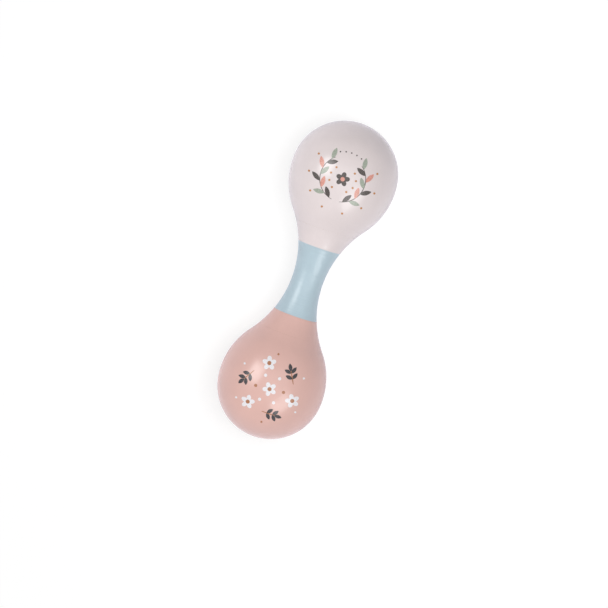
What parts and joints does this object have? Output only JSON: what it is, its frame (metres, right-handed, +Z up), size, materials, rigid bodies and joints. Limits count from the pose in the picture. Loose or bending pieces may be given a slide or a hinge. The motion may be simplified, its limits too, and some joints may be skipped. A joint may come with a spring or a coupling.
{
  "type": "double maraca",
  "caption": "Turned wooden baby rattle with a hollow bulb on each end of a waisted handle, and loose balls in the bulbs that rattle when it is shaken.",
  "frame": {"origin": "on the surface that the maraca lies on, below the middle of its handle", "axes": "+X along the turned axis towards the pink bulb, +Z up"},
  "size_m": [0.154, 0.05, 0.05],
  "materials": {
    "pink_paint": "wood, pale pink paint under satin lacquer",
    "blue_paint": "wood, pale blue paint under satin lacquer",
    "coral_paint": "wood, coral paint under satin lacquer",
    "ball_steel": "tumbled steel"
  },
  "bodies": {
    "maraca": {"handle": "blue_paint", "pink_bulb_shell": "pink_paint", "coral_bulb_shell": "coral_paint"},
    "pink_ball_1": {"pink_rattle_ball_1": "ball_steel"},
    "pink_ball_2": {"pink_rattle_ball_2": "ball_steel"},
    "pink_ball_3": {"pink_rattle_ball_3": "ball_steel"},
    "pink_ball_4": {"pink_rattle_ball_4": "ball_steel"},
    "pink_ball_5": {"pink_rattle_ball_5": "ball_steel"},
    "pink_ball_6": {"pink_rattle_ball_6": "ball_steel"},
    "pink_ball_7": {"pink_rattle_ball_7": "ball_steel"},
    "pink_ball_8": {"pink_rattle_ball_8": "ball_steel"},
    "pink_ball_9": {"pink_rattle_ball_9": "ball_steel"},
    "pink_ball_10": {"pink_rattle_ball_10": "ball_steel"},
    "coral_ball_1": {"coral_rattle_ball_1": "ball_steel"},
    "coral_ball_2": {"coral_rattle_ball_2": "ball_steel"},
    "coral_ball_3": {"coral_rattle_ball_3": "ball_steel"},
    "coral_ball_4": {"coral_rattle_ball_4": "ball_steel"},
    "coral_ball_5": {"coral_rattle_ball_5": "ball_steel"},
    "coral_ball_6": {"coral_rattle_ball_6": "ball_steel"},
    "coral_ball_7": {"coral_rattle_ball_7": "ball_steel"},
    "coral_ball_8": {"coral_rattle_ball_8": "ball_steel"},
    "coral_ball_9": {"coral_rattle_ball_9": "ball_steel"},
    "coral_ball_10": {"coral_rattle_ball_10": "ball_steel"}
  },
  "joints": [
    {"name": "pink_ball_1_flight", "type": "slide", "parent": "maraca", "child": "pink_ball_1", "axis": [0, 0, 1], "range_m": [0, 0.03299]},
    {"name": "pink_ball_2_flight", "type": "slide", "parent": "maraca", "child": "pink_ball_2", "axis": [0, 0, 1], "range_m": [0, 0.03414]},
    {"name": "pink_ball_3_flight", "type": "slide", "parent": "maraca", "child": "pink_ball_3", "axis": [0, 0, 1], "range_m": [0, 0.03288]},
    {"name": "pink_ball_4_flight", "type": "slide", "parent": "maraca", "child": "pink_ball_4", "axis": [0, 0, 1], "range_m": [0, 0.03288]},
    {"name": "pink_ball_5_flight", "type": "slide", "parent": "maraca", "child": "pink_ball_5", "axis": [0, 0, 1], "range_m": [0, 0.03512]},
    {"name": "pink_ball_6_flight", "type": "slide", "parent": "maraca", "child": "pink_ball_6", "axis": [0, 0, 1], "range_m": [0, 0.03512]},
    {"name": "pink_ball_7_flight", "type": "slide", "parent": "maraca", "child": "pink_ball_7", "axis": [0, 0, 1], "range_m": [0, 0.03234]},
    {"name": "pink_ball_8_flight", "type": "slide", "parent": "maraca", "child": "pink_ball_8", "axis": [0, 0, 1], "range_m": [0, 0.03299]},
    {"name": "pink_ball_9_flight", "type": "slide", "parent": "maraca", "child": "pink_ball_9", "axis": [0, 0, 1], "range_m": [0, 0.03414]},
    {"name": "pink_ball_10_flight", "type": "slide", "parent": "maraca", "child": "pink_ball_10", "axis": [0, 0, 1], "range_m": [0, 0.03288]},
    {"name": "coral_ball_1_flight", "type": "slide", "parent": "maraca", "child": "coral_ball_1", "axis": [0, 0, 1], "range_m": [0, 0.03299]},
    {"name": "coral_ball_2_flight", "type": "slide", "parent": "maraca", "child": "coral_ball_2", "axis": [0, 0, 1], "range_m": [0, 0.03414]},
    {"name": "coral_ball_3_flight", "type": "slide", "parent": "maraca", "child": "coral_ball_3", "axis": [0, 0, 1], "range_m": [0, 0.03288]},
    {"name": "coral_ball_4_flight", "type": "slide", "parent": "maraca", "child": "coral_ball_4", "axis": [0, 0, 1], "range_m": [0, 0.03288]},
    {"name": "coral_ball_5_flight", "type": "slide", "parent": "maraca", "child": "coral_ball_5", "axis": [0, 0, 1], "range_m": [0, 0.03512]},
    {"name": "coral_ball_6_flight", "type": "slide", "parent": "maraca", "child": "coral_ball_6", "axis": [0, 0, 1], "range_m": [0, 0.03512]},
    {"name": "coral_ball_7_flight", "type": "slide", "parent": "maraca", "child": "coral_ball_7", "axis": [0, 0, 1], "range_m": [0, 0.03234]},
    {"name": "coral_ball_8_flight", "type": "slide", "parent": "maraca", "child": "coral_ball_8", "axis": [0, 0, 1], "range_m": [0, 0.03299]},
    {"name": "coral_ball_9_flight", "type": "slide", "parent": "maraca", "child": "coral_ball_9", "axis": [0, 0, 1], "range_m": [0, 0.03414]},
    {"name": "coral_ball_10_flight", "type": "slide", "parent": "maraca", "child": "coral_ball_10", "axis": [0, 0, 1], "range_m": [0, 0.03288]}
  ]
}
